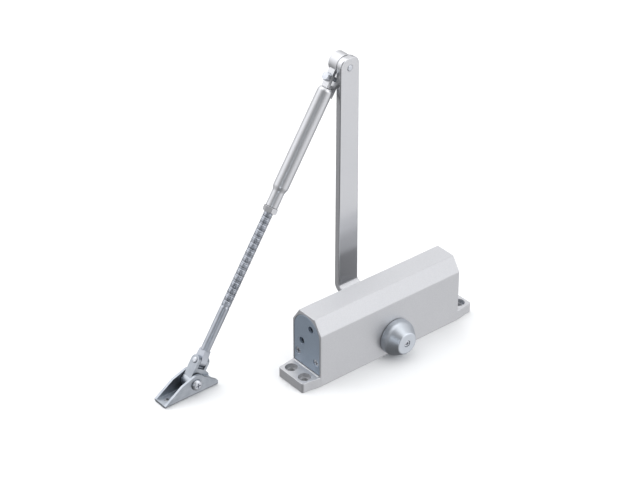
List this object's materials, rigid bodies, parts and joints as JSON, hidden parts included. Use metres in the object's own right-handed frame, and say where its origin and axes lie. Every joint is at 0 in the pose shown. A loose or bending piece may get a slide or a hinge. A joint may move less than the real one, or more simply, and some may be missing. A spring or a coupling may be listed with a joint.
{
  "type": "door closer",
  "caption": "Surface-mounted rack-and-pinion hydraulic door closer with a chamfered body and a folding two-piece arm that ends in a pivoting shoe.",
  "frame": {"origin": "centre of the body's mounting face", "axes": "+X along the body away from the end with the regulating screws, +Y towards the arm side, +Z away from the door face that the body is fixed to"},
  "size_m": [0.3291, 0.1107, 0.2914],
  "materials": {
    "silver_paint": "silver-grey enamel, satin",
    "cover_paint": "grey enamel, satin",
    "bright_zinc": "bright zinc plate",
    "machined_steel": "machined",
    "satin_cap": "satin",
    "bearing_bronze": "machined bronze",
    "nitrile_rubber": "matte black"
  },
  "bodies": {
    "housing_body": {"housing": "silver_paint", "end_cover_left": "cover_paint", "end_cover_right": "cover_paint", "cylinder_plug_left": "machined_steel", "cylinder_plug_right": "machined_steel", "plug_seal_left": "nitrile_rubber", "plug_seal_right": "nitrile_rubber", "cover_screw_left_1": "bright_zinc", "cover_screw_left_2": "bright_zinc", "cover_screw_right_1": "bright_zinc", "cover_screw_right_2": "bright_zinc", "return_spring": "machined_steel", "bearing_front": "bearing_bronze", "bearing_rear": "bearing_bronze", "shaft_seal_front": "nitrile_rubber", "shaft_seal_rear": "nitrile_rubber", "bearing_cap_front": "machined_steel", "bearing_cap_rear": "machined_steel"},
    "closing_valve": {"closing_valve_screw": "bright_zinc", "closing_valve_seal": "nitrile_rubber"},
    "latching_valve": {"latching_valve_screw": "bright_zinc", "latching_valve_seal": "nitrile_rubber"},
    "piston_body": {"piston": "machined_steel", "piston_seal": "nitrile_rubber", "check_valve_seat": "machined_steel"},
    "check_ball_body": {"check_ball": "machined_steel"},
    "spindle": {"pinion_shaft": "machined_steel", "spindle_cap": "satin_cap", "cap_screw": "bright_zinc", "main_arm": "silver_paint", "arm_washer": "bright_zinc", "arm_bolt": "bright_zinc", "elbow_rivet": "bright_zinc", "elbow_washer": "bright_zinc"},
    "forearm": {"elbow_knuckle": "silver_paint", "knuckle_bolt": "bright_zinc", "forearm_tube": "silver_paint"},
    "lock_nut_body": {"lock_nut": "silver_paint"},
    "rod": {"adjusting_rod": "bright_zinc"},
    "link": {"shoe_link": "bright_zinc", "rod_rivet": "machined_steel"},
    "shoe": {"shoe_bracket": "bright_zinc", "shoe_screw": "machined_steel", "shoe_nut": "machined_steel"}
  },
  "joints": [
    {"name": "spindle_turn", "type": "hinge", "parent": "housing_body", "child": "spindle", "pos_m": [0.0044, 0, 0.019], "axis": [0, -1, 0], "range_deg": [0, 160], "stiffness_Nm_per_rad": 0.4, "springref_deg": -34.38},
    {"name": "piston_slide", "type": "slide", "parent": "housing_body", "child": "piston_body", "axis": [-1, 0, 0], "range_m": [0, 0.03584], "deforming": ["return_spring"]},
    {"name": "check_ball_lift", "type": "slide", "parent": "piston_body", "child": "check_ball_body", "axis": [-1, 0, 0], "range_m": [0, 0.0008]},
    {"name": "closing_valve_turn", "type": "hinge", "parent": "housing_body", "child": "closing_valve", "pos_m": [-0.0845, -0.00601, 0.0578], "axis": [1, 0, 0], "range_deg": [-180, 180]},
    {"name": "latching_valve_turn", "type": "hinge", "parent": "housing_body", "child": "latching_valve", "pos_m": [-0.0845, 0.00729, 0.03881], "axis": [1, 0, 0], "range_deg": [-180, 180]},
    {"name": "elbow_turn", "type": "hinge", "parent": "spindle", "child": "forearm", "pos_m": [0.0044, 0.0629, 0.281], "axis": [0, 1, 0], "range_deg": [-10, 130]},
    {"name": "lock_nut_turn", "type": "hinge", "parent": "forearm", "child": "lock_nut_body", "pos_m": [-0.08209, 0.05814, 0.16096], "axis": [-0.5677, -0.0322, -0.8226], "continuous": true},
    {"name": "rod_slide", "type": "slide", "parent": "forearm", "child": "rod", "axis": [-0.5677, -0.0322, -0.8226], "range_m": [-0.04, 0.02]},
    {"name": "link_swing", "type": "hinge", "parent": "rod", "child": "link", "pos_m": [-0.17356, 0.05296, 0.02845], "axis": [-0.823, 0, 0.568], "range_deg": [-10, 10]},
    {"name": "shoe_tilt", "type": "hinge", "parent": "link", "child": "shoe", "pos_m": [-0.18525, 0.0523, 0.0115], "axis": [0, 1, 0], "range_deg": [-35, 95]}
  ],
  "couplings": [
    {"joint": "piston_slide", "follows": "spindle_turn", "m_per_rad": 0.0128}
  ]
}
